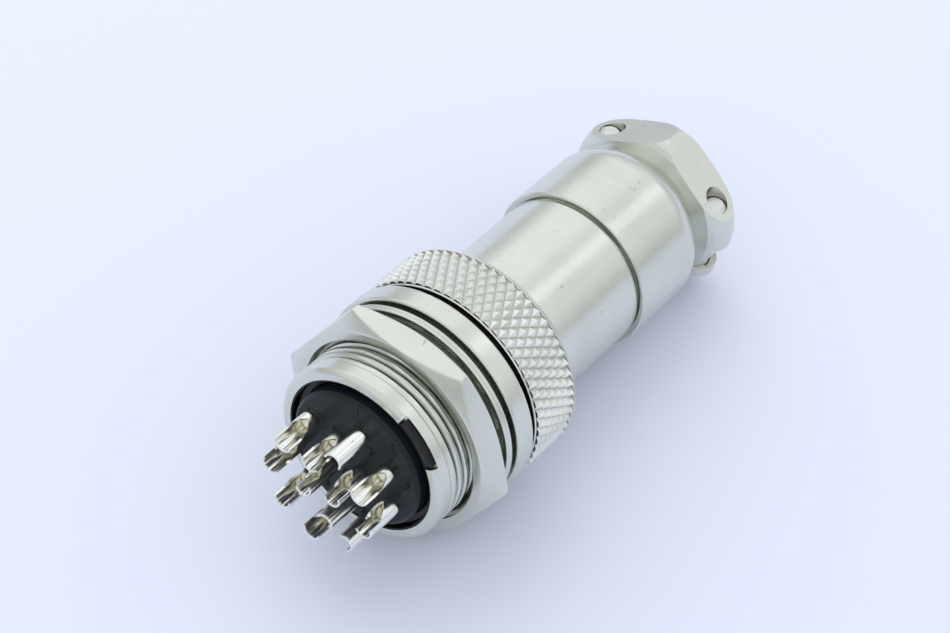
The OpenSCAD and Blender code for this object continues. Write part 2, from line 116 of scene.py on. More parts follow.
def densified(profile: np.ndarray, step: float, low_r: float) -> np.ndarray:
    """Closed outline with extra points wherever it runs along the axis outside low_r.

    Args:
        profile: outline (n, 2) of (x, r).
        step: longest piece kept, in mm.
        low_r: radius above which pieces are divided.

    Returns:
        The denser outline.
    """
    parts = []
    for a, b in zip(profile, np.roll(profile, -1, 0)):
        count = 1
        if min(a[1], b[1]) > low_r:
            count = max(1, math.ceil(abs(b[0] - a[0]) / step))
        parts.append(a + (b - a) * (np.arange(count) / count)[:, None])
    return np.concatenate(parts)


def round_angles(count: int, cuts: tuple = ()) -> np.ndarray:
    """Angles once round, with a close pair at every cut.

    Args:
        count: evenly spaced angles.
        cuts: directions in degrees where a step in the surface needs a sharp side.

    Returns:
        Sorted angles in radians.
    """
    even = np.arange(count) * 360.0 / count
    extra = [c + e for c in cuts for e in (-SIDE_HALF, SIDE_HALF)]
    return np.radians(np.unique(np.round(np.concatenate([even, np.mod(extra, 360)]), 4)))


def off_key(a: np.ndarray) -> np.ndarray:
    """Degrees, either way round, between each angle in radians and the key way."""
    return np.abs(np.mod(np.degrees(a) - KEY_WAY + 180, 360) - 180)


def smooth(low: float, high: float, x: np.ndarray) -> np.ndarray:
    """Smooth step from 0 at low to 1 at high."""
    t = np.clip((x - low) / (high - low), 0, 1)
    return t * t * (3 - 2 * t)


def span(x: np.ndarray, rise: tuple, fall: tuple) -> np.ndarray:
    """1 between a smooth rise and a smooth fall, 0 beyond them."""
    return smooth(*rise, x) * (1 - smooth(*fall, x))


def bend(t: np.ndarray, first: tuple, middle: tuple, last: tuple) -> tuple:
    """Parabola from the first to the last point, bent towards the middle one.

    Args:
        t: steps from 0 to 1 along the curve.
        first: where it starts, as (x, r).
        middle: where its end tangents meet.
        last: where it ends.

    Returns:
        The x and the r of its points.
    """
    w = ((1 - t) ** 2, 2 * t * (1 - t), t**2)
    x, r = (w[0] * first[k] + w[1] * middle[k] + w[2] * last[k] for k in (0, 1))
    return x, r


def swept(x: np.ndarray, r: np.ndarray, a: np.ndarray) -> np.ndarray:
    """Points (x, r cos a, r sin a) of a grid, row by row."""
    return np.stack([x, r * np.cos(a), r * np.sin(a)], axis=-1).reshape(-1, 3)


def grid_faces(rows: int, cols: int, wrap: bool = True) -> np.ndarray:
    """Quads of a grid of points stored row by row.

    Args:
        rows: number of rows.
        cols: points in a row.
        wrap: the last row joins the first, and the last point of a row its first.

    Returns:
        Indices (k, 4).
    """
    open_ends = 0 if wrap else 1
    j, i = np.meshgrid(np.arange(rows - open_ends), np.arange(cols - open_ends), indexing="ij")
    k, m = (j + 1) % rows, (i + 1) % cols
    quads = np.stack([j * cols + i, j * cols + m, k * cols + m, k * cols + i], axis=-1)
    return quads.reshape(-1, 4)


def linked(name: str, data: bpy.types.ID) -> bpy.types.Object:
    """Puts a new object in the scene.

    Args:
        name: its name.
        data: its mesh, lamp, camera or curve.

    Returns:
        The object.
    """
    obj = bpy.data.objects.new(name, data)
    bpy.context.scene.collection.objects.link(obj)
    return obj


@dataclass
class Surface:
    """Points, blocks of faces and marks of one piece before it becomes a mesh."""

    points: np.ndarray
    faces: list
    marks: dict = field(default_factory=dict)

    def volume(self) -> float:
        """Signed volume by tetrahedra from the origin.

        Returns:
            A positive number when the faces look outwards.
        """
        total = 0.0
        for block in self.faces:
            p = self.points[block]
            for k in range(1, block.shape[1] - 1):
                total += np.einsum("ij,ij->", p[:, 0], np.cross(p[:, k], p[:, k + 1]))
        return total / 6

    def build(self, name: str, sharp: float = 32.0) -> bpy.types.Object:
        """Makes the mesh object in metres, outward-facing and smooth-shaded.

        Args:
            name: the piece's name.
            sharp: faces that meet at more than this angle, in degrees, keep a crisp edge.

        Returns:
            The new object at the origin.
        """
        blocks = [b[:, ::-1] for b in self.faces] if self.volume() < 0 else self.faces
        mesh = bpy.data.meshes.new(name)
        sizes = np.concatenate([np.full(len(b), b.shape[1]) for b in blocks])
        loops = np.concatenate([b.ravel() for b in blocks]).astype(np.int32)
        mesh.vertices.add(len(self.points))
        mesh.vertices.foreach_set("co", (self.points * MM).astype(np.float32).ravel())
        mesh.loops.add(len(loops))
        mesh.loops.foreach_set("vertex_index", loops)
        mesh.polygons.add(len(sizes))
        mesh.polygons.foreach_set("loop_start", (np.cumsum(sizes) - sizes).astype(np.int32))
        mesh.update(calc_edges=True)
        mesh.validate()
        mesh.polygons.foreach_set("use_smooth", np.ones(len(mesh.polygons), bool))
        for key, values in self.marks.items():
            layer = mesh.attributes.new(key, "FLOAT", "POINT")
            layer.data.foreach_set("value", values.astype(np.float32).ravel())
        mesh.set_sharp_from_angle(angle=math.radians(sharp))
        return linked(name, mesh)


def turned(profile: np.ndarray, angles: np.ndarray, shift: Callable | None = None) -> Surface:
    """Outline turned round X: each point is (x, r cos a, r sin a), then moved by the shift.

    Args:
        profile: closed outline (n, 2) of (x, r).
        angles: directions round the axis in radians.
        shift: function of the x, r and angle arrays that returns changed x and r.

    Returns:
        A surface closed both ways, whose mark "root", painted shade, is 1 where the shift sinks it.
    """
    a = angles[None, :]
    x = profile[:, :1] + 0 * a
    r = profile[:, 1:] + 0 * a
    if shift:
        x, r = shift(x, r, a + 0 * x)
    # Painted shade: the deeper the shift sinks a point, the higher its mark "root".
    sunk = np.clip((profile[:, 1:] - r) / ROOT_DEPTH, 0, 1)
    root = smooth(*ROOT_SHADE, sunk)
    return Surface(swept(x, r, a), [grid_faces(len(profile), len(angles))], {"root": root})


def thread_groove(x: np.ndarray, a: np.ndarray, pitch: float = 1.0) -> np.ndarray:
    """Right-hand thread: 1 at the root, 0 on the crest, by x over the pitch less the turn."""
    phase = np.mod(x / pitch - a / (2 * np.pi), 1.0)
    return np.clip(GROOVE_TOP - np.abs(2 * phase - 1) * GROOVE_FLANK, 0, 1)


# ---------------------------------------------------------------- paint


class Value:
    """A shader number that can be used in plain expressions."""

    def __init__(self, tree: "Tree", socket: bpy.types.NodeSocket) -> None:
        """Wraps an output socket of the tree."""
        self.tree, self.socket = tree, socket

    def _math(self, kind: str, *terms) -> "Value":
        """One Math node over the terms."""
        node = self.tree.node("ShaderNodeMath", {"operation": kind}, *terms)
        return Value(self.tree, node.outputs[0])

    def __add__(self, other: "Value | float") -> "Value":
        """Sum."""
        return self._math("ADD", self, other)

    __radd__ = __add__

    def __mul__(self, other: "Value | float") -> "Value":
        """Product."""
        return self._math("MULTIPLY", self, other)

    __rmul__ = __mul__

    def __sub__(self, other: "Value | float") -> "Value":
        """Difference."""
        return self._math("SUBTRACT", self, other)

    def __rsub__(self, other: "Value | float") -> "Value":
        """Difference the other way round."""
        return self._math("SUBTRACT", other, self)

    def clip(self) -> "Value":
        """Held between 0 and 1."""
        return self._math("MINIMUM", self._math("MAXIMUM", self, 0.0), 1.0)


class Tree:
    """A shader tree whose nodes all come from one method."""

    def __init__(self, nodes: bpy.types.NodeTree) -> None:
        """Takes over a node tree."""
        self.nodes = nodes

    def node(self, kind: str, settings: dict | None = None, *values, **named) -> bpy.types.Node:
        """Adds a node, its settings first, then its socket values or links.

        Args:
            kind: node type.
            settings: node attributes.
            values: inputs in order.
            named: inputs by name, with spaces as underscores.

        Returns:
            The node.
        """
        node = self.nodes.nodes.new(kind)
        for key, value in (settings or {}).items():
            setattr(node, key, value)
        pairs = list(enumerate(values)) + [(k.replace("_", " "), v) for k, v in named.items()]
        for key, value in pairs:
            self.give(node.inputs[key], value)
        return node

    def give(self, socket: bpy.types.NodeSocket, value) -> None:
        """Sets a constant on a socket, or links a value to it.

        Args:
            socket: the input.
            value: a Value, an output socket, a number, or a tuple.
        """
        value = value.socket if isinstance(value, Value) else value
        if isinstance(value, bpy.types.NodeSocket):
            self.nodes.links.new(value, socket)
        else:
            socket.default_value = value

    def blend(self, factor: Value | bpy.types.NodeSocket, first: tuple | bpy.types.NodeSocket,
              second: tuple) -> bpy.types.NodeSocket:
        """Colour that goes from the first to the second.

        Args:
            factor: 0 for the first colour, 1 for the second.
            first: a linked colour, or (red, green, blue).
            second: (red, green, blue).

        Returns:
            The colour's socket.
        """
        node = self.node("ShaderNodeMix", {"data_type": "RGBA"})
        self.give(node.inputs[MIX_FACTOR], factor)
        self.give(node.inputs[MIX_FIRST], (*first, 1.0) if isinstance(first, tuple) else first)
        self.give(node.inputs[MIX_SECOND], (*second, 1.0))
        return node.outputs[MIX_RESULT]


class Paint(Tree):
    """One node material around a Principled shader, in object coordinates."""

    def __init__(self, name: str) -> None:
        """Starts the material.

        Args:
            name: the material's name.
        """
        self.material = bpy.data.materials.new(name)
        self.material.use_nodes = True
        super().__init__(self.material.node_tree)
        self.nodes.nodes.clear()
        self.shader = self.node("ShaderNodeBsdfPrincipled")
        self.node("ShaderNodeOutputMaterial", None, self.shader.outputs[0])
        self.place = self.node("ShaderNodeTexCoord").outputs["Object"]

    def noise(self, scale: tuple, detail: float) -> Value:
        """Noise from 0 to 1 over stretched coordinates.

        Args:
            scale: grains per metre along each axis.
            detail: how many finer layers it has.

        Returns:
            The number.
        """
        spot = self.node("ShaderNodeVectorMath", {"operation": "MULTIPLY"}, self.place, scale)
        node = self.node("ShaderNodeTexNoise", None, Vector=spot.outputs[0],
                         Scale=1.0, Detail=detail, Roughness=0.55)
        return Value(self, node.outputs[0])

    def mark(self, name: str) -> Value:
        """The piece's own number of that name, 0 where it has none."""
        return Value(self, self.node("ShaderNodeAttribute", {"attribute_name": name}).outputs["Fac"])

    def relief(self, height: Value, distance: float) -> None:
        """Fine surface relief of the given height in metres."""
        node = self.node("ShaderNodeBump", None, Strength=1.0, Distance=distance, Height=height)
        self.give(self.shader.inputs["Normal"], node.outputs[0])

    def set(self, **named) -> None:
        """Gives inputs of the shader by name, with spaces as underscores."""
        for key, value in named.items():
            self.give(self.shader.inputs[key.replace("_", " ")], value)


@dataclass(frozen=True)
class Metal:
    """Plated metal: two close tints in clouds, turning lines, painted shade in sunk roots and gaps, and
    a few pits.
    """

    name: str
    light: tuple = (0.735, 0.75, 0.69)
    dark: tuple = (0.63, 0.645, 0.585)
    rough_low: float = 0.16
    rough_high: float = 0.30
    lines: float = 1.0
    inner: tuple | None = None
    # The painted shade in sunk roots and gaps: its strength and colour.
    grime: float = 0.92
    grime_colour: tuple = (0.045, 0.045, 0.038)
    pit_colour: tuple = (0.30, 0.29, 0.25)
    pit_level: float = 0.72
    pit_gain: float = 6.0
    cloud_scale: tuple = (140, 140, 140)
    line_scale: tuple = (2600, 60, 60)
    speck_scale: tuple = (3200, 3200, 3200)
    pit_scale: tuple = (1500, 1500, 1500)
    cloud_gain: float = 1.6
    cloud_level: float = 0.4
    inner_share: tuple = (0.25, 0.8)
    rough_shares: tuple = (0.6, 0.4)
    speck_share: float = 0.35
    relief: float = 0.000004

    def material(self) -> bpy.types.Material:
        """Builds the node material.

        Returns:
            The material.
        """
        paint = Paint(self.name)
        cloud = paint.noise(self.cloud_scale, 4.0)
        streak = paint.noise(self.line_scale, 2.0)
        speck = paint.noise(self.speck_scale, 2.0)
        pits = paint.noise(self.pit_scale, 1.0)
        clouds = (cloud * self.cloud_gain - self.cloud_level).clip()
        colour = paint.blend(clouds, self.dark, self.light)
        # Painted shade: the mark "root" darkens thread roots, knurl valleys and the gaps beside the
        # flange and bands.
        colour = paint.blend((paint.mark("root") * self.grime).clip(), colour, self.grime_colour)
        colour = paint.blend(((pits - self.pit_level) * self.pit_gain).clip(), colour, self.pit_colour)
        if self.inner:
            least, by_cloud = self.inner_share
            inside = paint.mark("inside") * (least + cloud * by_cloud)
            colour = paint.blend(inside.clip(), colour, self.inner)
        lined, clouded = self.rough_shares
        spread = self.rough_high - self.rough_low
        rough = (streak * lined + cloud * clouded) * spread + self.rough_low
        paint.set(Base_Color=colour, Metallic=1.0, Roughness=rough.clip())
        paint.relief(streak * self.lines + speck * self.speck_share, self.relief)
        return paint.material


@dataclass(frozen=True)
class Plastic:
    """Moulded plastic: two close tints with a faint grain."""

    name: str
    light: tuple
    dark: tuple
    roughness: float
    level: float = 0.5
    grain: float = 0.000008
    cloud_scale: tuple = (260, 260, 260)
    grain_scale: tuple = (5200, 5200, 5200)
    cloud_gain: float = 1.5
    cloud_level: float = 0.25
    rough_spread: float = 0.16

    def material(self) -> bpy.types.Material:
        """Builds the node material.

        Returns:
            The material.
        """
        paint = Paint(self.name)
        cloud = paint.noise(self.cloud_scale, 4.0)
        fine = paint.noise(self.grain_scale, 3.0)
        clouds = (cloud * self.cloud_gain - self.cloud_level).clip()
        paint.set(
            Base_Color=paint.blend(clouds, self.dark, self.light),
            Roughness=(fine * self.rough_spread + self.roughness - self.rough_spread / 2).clip(),
            Specular_IOR_Level=self.level,
        )
        paint.relief(fine, self.grain)
        return paint.material


@dataclass(frozen=True)
class Finishes:
    """Every finish of the connector."""

    nickel: Metal = Metal("nickel")
    knurl: Metal = Metal("knurl_nickel", (0.84, 0.85, 0.80), (0.74, 0.75, 0.70), 0.16, 0.26, 0.2)
    silver: Metal = Metal("solder_silver", (0.92, 0.92, 0.89), (0.78, 0.78, 0.73), 0.10, 0.24, 0.5,
                          inner=(0.86, 0.84, 0.72))
    gold: Metal = Metal("gold_plate", (0.84, 0.67, 0.34), (0.70, 0.52, 0.22), 0.16, 0.28, 0.5)
    steel: Metal = Metal("screw_metal", (0.80, 0.79, 0.76), (0.58, 0.57, 0.54), 0.18, 0.32, 0.4)
    slate: Plastic = Plastic("slate_plastic", (0.014, 0.017, 0.022), (0.008, 0.010, 0.014),
                             0.36, level=0.2)
    black: Plastic = Plastic("gloss_black", (0.008, 0.008, 0.009), (0.005, 0.005, 0.006),
                             0.22, level=0.25)
    liner: Plastic = Plastic("liner_white", (0.80, 0.79, 0.75), (0.70, 0.69, 0.65), 0.45)

    def coats(self) -> dict:
        """Makes one material for every slot of the record.

        Returns:
            Materials by slot.
        """
        made = {
            Slot.NICKEL: self.nickel, Slot.SILVER: self.silver, Slot.GOLD: self.gold,
            Slot.SLATE: self.slate, Slot.BLACK: self.black, Slot.LINER: self.liner,
            Slot.STEEL: self.steel,
        }
        return {slot: finish.material() for slot, finish in made.items()}


def place(obj: bpy.types.Object, body: str, slot: Slot, coat: bpy.types.Material, *nodes: str) -> None:
    """Dresses a finished piece and hands it to the frame.

    Args:
        obj: the piece.
        body: CAD body it rides on.
        slot: record slot of its finish; not used.
        coat: its material.
        nodes: CAD nodes that it stands for.
    """
    obj.data.materials.clear()
    obj.data.materials.append(coat)
    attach(obj, body)
    if nodes:
        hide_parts(*nodes)
    log.info("%s: %d faces on %s", obj.name, len(obj.data.polygons), body)


# ---------------------------------------------------------------- receptacle


@dataclass
class ReceptacleShell:
    """Threaded tube with its flange, rim notch and the web that holds the insulator."""

    thread_r: float = 10.0
    rim_r: float = 8.78
    flange_r: float = 12.0
    flange_x: float = 10.05
    front_x: float = 12.55
    end_x: float = 17.75
    bore_r: float = 8.5
    web_x: tuple = (9.0, 10.6)
    boss_r: float = 7.93
    chamfer: float = 0.4
    flange_ease: float = 0.32
    thread_depth: float = 0.42
    rear_thread: tuple = ((1.75, 2.35), (9.3, 9.9))
    front_thread: tuple = ((12.9, 13.3), (17.0, 17.3))
    thread_step: float = 0.07
    notch_width: float = 35.0
    notch_depth: float = 0.6
    shade: float = 0.8
    rear_shade: tuple = (7.7, 8.2)
    front_shade: tuple = (13.7, 14.4)

    def surface(self) -> Surface:
        """Outline turned round X; the outer tubes sink by the thread's groove, the notch holds x back.

        Returns:
            The shell, with painted shade in its thread roots and beside its flange.
        """
        thread_r, start, end = self.thread_r, self.chamfer, self.end_x - self.chamfer
        web_start, web_end = self.web_x
        outline = rounded([
            (0, self.rim_r, 0.12), (0, thread_r - start, 0.1), (start, thread_r, 0.15),
            (self.flange_x, thread_r, 0.02), (self.flange_x, self.flange_r),
            (self.front_x, self.flange_r), (self.front_x, thread_r, 0.02),
            (end, thread_r, 0.1), (self.end_x, thread_r - self.chamfer, 0.1),
            (self.end_x, self.bore_r, 0.1), (web_end, self.bore_r, 0.05),
            (web_end, self.boss_r, 0.05), (web_start, self.boss_r, 0.02), (web_start, self.rim_r, 0.05),
        ], self.flange_ease, 5)
        outline = densified(outline, self.thread_step, thread_r - 0.02)

        def shift(x: np.ndarray, r: np.ndarray, a: np.ndarray) -> tuple:
            """Cuts the threads into the tubes' outer rows and the notch into the rim's.

            Args:
                x: the points' places along the axis.
                r: their radii.
                a: their angles in radians.

            Returns:
                The changed x and r.
            """
            threads = span(x, *self.rear_thread) + span(x, *self.front_thread)
            on_tube = (np.abs(r - thread_r) < 0.011) * threads
            r = r - self.thread_depth * on_tube * thread_groove(x, a)
            in_notch = (off_key(a) < self.notch_width / 2) & (x < web_start - 1)
            return np.where(in_notch, np.maximum(x, self.notch_depth), x), r

        sides = (KEY_WAY - self.notch_width / 2, KEY_WAY + self.notch_width / 2)
        shell = turned(outline, round_angles(TURNS, sides), shift)
        # Painted shade on the threads in the gaps on both sides of the flange.
        x, r = outline[:, :1], outline[:, 1:]
        shade = self.shade * smooth(*self.rear_shade, x) * (x < self.flange_x)
        shade = shade + (x > self.front_x) * (1 - smooth(*self.front_shade, x))
        shell.marks["root"] = np.maximum(shell.marks["root"], shade * (r < thread_r + 0.01))
        return shell


@dataclass
class Washer:
    """Turned ring with eased edges and a shallow groove round its rim."""

    inner: float = 10.1
    outer: float = 11.7
    start: float = 8.65
    thick: float = 0.85
    groove_half: float = 0.16
    groove_depth: float = 0.14
    ease: float = 0.12

    def surface(self) -> Surface:
        """Grooved rectangle turned round X.

        Returns:
            The washer.
        """
        start, end, mid = self.start, self.start + self.thick, self.start + self.thick / 2
        outline = rounded([
            (start, self.inner, 0.08), (start, self.outer - 0.1, self.ease),
            (mid - self.groove_half, self.outer, self.ease),
            (mid, self.outer - self.groove_depth, 0.06),
            (mid + self.groove_half, self.outer, self.ease), (end, self.outer - 0.06, 0.1),
            (end, self.inner, 0.08),
        ], 0.1)
        return turned(outline, round_angles(TURNS))


@dataclass
class LocatingRing:
    """Black ring round the insulator: it lines the rim's bore, and its tab fills the rim's notch."""

    inner: float = 7.9
    outer: float = 8.75
    front: float = 0.1
    seat: float = 1.0
    back: float = 1.85
    lining: float = 0.2
    tab_r: float = 9.75
    tab_back: float = 0.575
    tab_half: float = 15.8

    def surface(self) -> Surface:
        """Angled outline turned round X; its outer front rows reach out to the tab's radius.

        Returns:
            The ring.
        """
        outer = self.outer
        outline = rounded([
            (self.front, outer - 0.12, 0.03), (self.front, outer, 0.03),
            (self.tab_back - 0.005, outer, 0.03),
            (self.tab_back + 0.025, outer - 0.01, 0.01), (self.back, outer, 0.03),
            (self.back, self.inner, 0.05), (self.seat, self.inner, 0.1),
            (self.seat, outer - self.lining, 0.15),
        ], 0.05, 3)

        def shift(x: np.ndarray, r: np.ndarray, a: np.ndarray) -> tuple:
            """Draws the tab out in the notch.

            Args:
                x: the points' places along the axis.
                r: their radii.
                a: their angles in radians.

            Returns:
                The changed x and r.
            """
            out = (off_key(a) < self.tab_half) & (x < self.tab_back) & (r > outer - 0.07)
            return x, np.where(out, r + self.tab_r - outer, r)

        sides = (KEY_WAY - self.tab_half, KEY_WAY + self.tab_half)
        ring = turned(outline, round_angles(TURNS, sides), shift)
        return Surface(ring.points, ring.faces)


@dataclass
class HexNut:
    """Hexagon nut with a shallow cone on both faces."""

    start: float = 4.5
    thick: float = 3.15
    flat_r: float = 11.75
    face_r: float = 11.625
    bore_r: float = 10.06
    mouth: float = 0.58
    cone: float = 30.0
    ease: float = 0.16
    ease_share: float = 0.4
    ease_points: int = 6
    crispness: float = 260.0
    least_rise: float = 0.02

    def surface(self) -> Surface:
        """Each direction has its own outline: up the cone to the hexagon, along it and down.

        The hexagon's radius is the soft minimum, over its sides, of flat_r over the cosine.

        Returns:
            The nut.
        """
        angles = round_angles(2 * TURNS)
        folded = np.mod(angles, np.pi / 3) - np.pi / 6
        sides = np.stack([np.cos(folded + k * np.pi / 3) for k in (-1, 0, 1)]) / self.flat_r
        sharp = self.crispness * self.flat_r
        hexagon = 1 / (np.log(np.exp((sides - sides.max(0)) * sharp).sum(0)) / sharp + sides.max(0))
        slope = math.tan(math.radians(self.cone))
        rise = np.maximum(hexagon - self.face_r, self.least_rise) * slope
        reach = np.minimum(self.ease, self.ease_share * rise)
        t = np.linspace(0, 1, self.ease_points)[:, None]
        zero = 0 * angles
        edge, ridge = self.start + zero, self.start + rise
        face = bend(t, (edge, self.face_r - reach), (edge, self.face_r + zero),
                    (self.start + reach * slope, self.face_r + reach))
        brow = bend(t, (ridge - reach * slope, hexagon - reach), (ridge, hexagon),
                    (ridge + reach, hexagon))
        both = 2 * self.start + self.thick
        mouths = [(self.start, self.bore_r + self.mouth), (self.start + self.mouth, self.bore_r)]
        bore = [(both - x, r) for x, r in mouths] + mouths[::-1]
        xs = [face[0], brow[0], both - brow[0][::-1], both - face[0][::-1]]
        rs = [face[1], brow[1], brow[1][::-1], face[1][::-1]]
        x = np.concatenate(xs + [x + zero[None] for x, _ in bore])
        r = np.concatenate(rs + [r + zero[None] for _, r in bore])
        return Surface(swept(x, r, angles[None, :]), [grid_faces(len(x), len(angles))])


@dataclass
class Numbers:
    """Raised plain numbers beside the solder cups."""

    places: list
    face_x: float = -0.65
    height: float = 1.25
    raised: float = 0.09

    def build(self) -> bpy.types.Object:
        """Text outlines made into one mesh and set on the disc's face, read from the cups' side.

        Returns:
            The numbers as one object.
        """
        verts, faces, start = [], [], 0
        for number, (y, z) in enumerate(self.places, 1):
            curve = bpy.data.curves.new(f"figure_{number}", "FONT")
            curve.body, curve.size = str(number), self.height
            curve.extrude, curve.resolution_u = self.raised, 3
            curve.align_x, curve.align_y = "CENTER", "CENTER"
            flat = linked(curve.name, curve)
            bpy.context.view_layer.update()
            mesh = bpy.data.meshes.new_from_object(flat)
            co = np.empty(len(mesh.vertices) * 3)
            mesh.vertices.foreach_get("co", co)
            co = co.reshape(-1, 3)
            verts.append(np.stack([self.face_x - co[:, 2], y - co[:, 0], z + co[:, 1]], -1))
            faces += [[start + v for v in p.vertices] for p in mesh.polygons]
            start += len(co)
            bpy.data.objects.remove(flat)
            bpy.data.meshes.remove(mesh)
            bpy.data.curves.remove(curve)
        made = bpy.data.meshes.new("contact_numbers")
        made.from_pydata((np.concatenate(verts) * MM).tolist(), [], faces)
        made.update()
        return linked("contact_numbers", made)


@dataclass
class SolderContact:
    """Solder cup, stem, shank with its collar and round-nosed pin, all on one axis."""

    place: tuple
    opening: float
    tip_x: float = -6.5
    open_end: float = -2.9
    round_l: float = 2.3
    round_power: float = 0.85
    flat_cut: float = 0.128125
    straight_rows: int = 8
    round_rows: int = 25
    bore_end: float = -2.6
    cup_r: float = 1.025
    bore_r: float = 0.775
    cup_root: float = -2.2
    stem_r: float = 0.86
    disc_x: float = -0.65
    shank_r: float = 0.75
    collar_r: float = 1.0
    collar_x: tuple = (1.9, 3.0)
    pin_x: float = 10.9
    pin_r: float = 0.5
    nose_x: float = 17.5
    across: int = 49

    def rows(self) -> tuple:
        """Half outlines of the contact from the cup's floor to the pin's nose.

        Returns:
            Floor, inner wall, rim, outer wall and tail, each an array (n, 2) of (x, r).
        """
        stations = np.concatenate([
            np.linspace(self.tip_x + 0.08, self.open_end - self.round_l, self.straight_rows),
            self.open_end - self.round_l * np.cos(np.linspace(0, np.pi / 2, self.round_rows)[1:]),
        ])
        inner = np.stack([stations[::-1], np.full(len(stations), self.bore_r)], -1)
        outer = np.stack([stations, np.full(len(stations), self.cup_r)], -1)
        floor = [(self.bore_end, 0.02), (self.bore_end, self.bore_r * 0.7),
                 (self.bore_end - 0.1, self.bore_r)]
        rim = [(self.tip_x + 0.02, self.bore_r + 0.02), (self.tip_x, self.bore_r + 0.08),
               (self.tip_x, self.cup_r - 0.08), (self.tip_x + 0.02, self.cup_r - 0.02)]
        (near, far), root, shank, pin = self.collar_x, self.cup_root, self.shank_r, self.pin_r
        tail = [
            (root - 0.25, self.cup_r), (root - 0.1, self.cup_r - 0.02), (root, self.cup_r - 0.05),
            (root + 0.15, self.stem_r + 0.04), (root + 0.3, self.stem_r), (self.disc_x, self.stem_r),
            (self.disc_x + 0.02, shank), (near, shank), (near, self.collar_r), (far, self.collar_r),
            (far, shank), (self.pin_x - 0.1, shank), (self.pin_x, shank - 0.1), (self.pin_x, pin),
            (self.nose_x, pin), (self.nose_x + 0.2, pin - 0.04), (self.nose_x + 0.35, pin - 0.16),
            (self.nose_x + 0.4, pin - 0.3), (self.nose_x + 0.4, 0.02),
        ]
        return np.array(floor), inner, np.array(rim), outer, np.array(tail)

    def cut(self, x: np.ndarray, r: np.ndarray) -> np.ndarray:
        """Half angle that the cup's open side takes from each row.

        The opening is a flat cut that narrows to nothing by (1 - s^2) to a power, s being the
        share of its round end that is behind the row.

        Args:
            x: the rows' places.
            r: their radii.

        Returns:
            Radians, 0 where the row is whole.
        """
        behind = np.clip((x - self.open_end) / self.round_l + 1, 0, 1)
        half = self.cup_r * (1 - behind**2) ** self.round_power
        half = np.where(x > self.open_end - 1e-6, 0, half)
        level = np.arccos(np.clip(self.flat_cut / r, -1, 1))
        open_by = np.minimum(level, np.arcsin(np.clip(half / r, 0, 1)))
        return np.where(r < self.bore_r * 0.9, 0, open_by)

    def surface(self) -> Surface:
        """Rows along bore, rim, cup, stem and pin, each an arc that stops at the cup's open side.

        Returns:
            The contact, with the mark "inside" rising towards the cup's deep end.
        """
        floor, inner, rim, outer, tail = self.rows()
        rows = np.concatenate([floor, inner, rim, outer, tail])
        x, r = rows[:, 0], rows[:, 1]
        count = self.across
        arc = np.linspace(-1, 1, count)[None, :] * (np.pi - self.cut(x, r))[:, None]
        up = math.radians(self.opening)
        aside, lift = r[:, None] * np.sin(arc), -r[:, None] * np.cos(arc)
        y = self.place[0] + lift * math.cos(up) - aside * math.sin(up)
        z = self.place[1] + lift * math.sin(up) + aside * math.cos(up)
        points = np.stack([x[:, None] + 0 * arc, y, z], -1).reshape(-1, 3)
        faces = [grid_faces(len(rows), count, wrap=False)]
        first, n_in = len(floor), len(inner)
        last = first + n_in + len(rim) + len(outer) - 1
        pair = np.arange(n_in - 1)
        a, b = (first + pair) * count, (first + pair + 1) * count
        c, d = (last - pair - 1) * count, (last - pair) * count
        faces.append(np.stack([d, c, b, a], -1))
        faces.append(np.stack([a, b, c, d], -1) + count - 1)
        lip = (np.arange(first + n_in - 1, last - len(outer) + 2) * count)[None, :]
        faces.append(lip[:, ::-1])
        faces.append(lip + count - 1)
        inside = np.zeros((len(rows), count))
        deep = x[: first + n_in, None]
        inside[: first + n_in] = smooth(self.tip_x + 1.0, self.open_end - 0.4, deep)
        return Surface(points, faces, {"inside": inside})


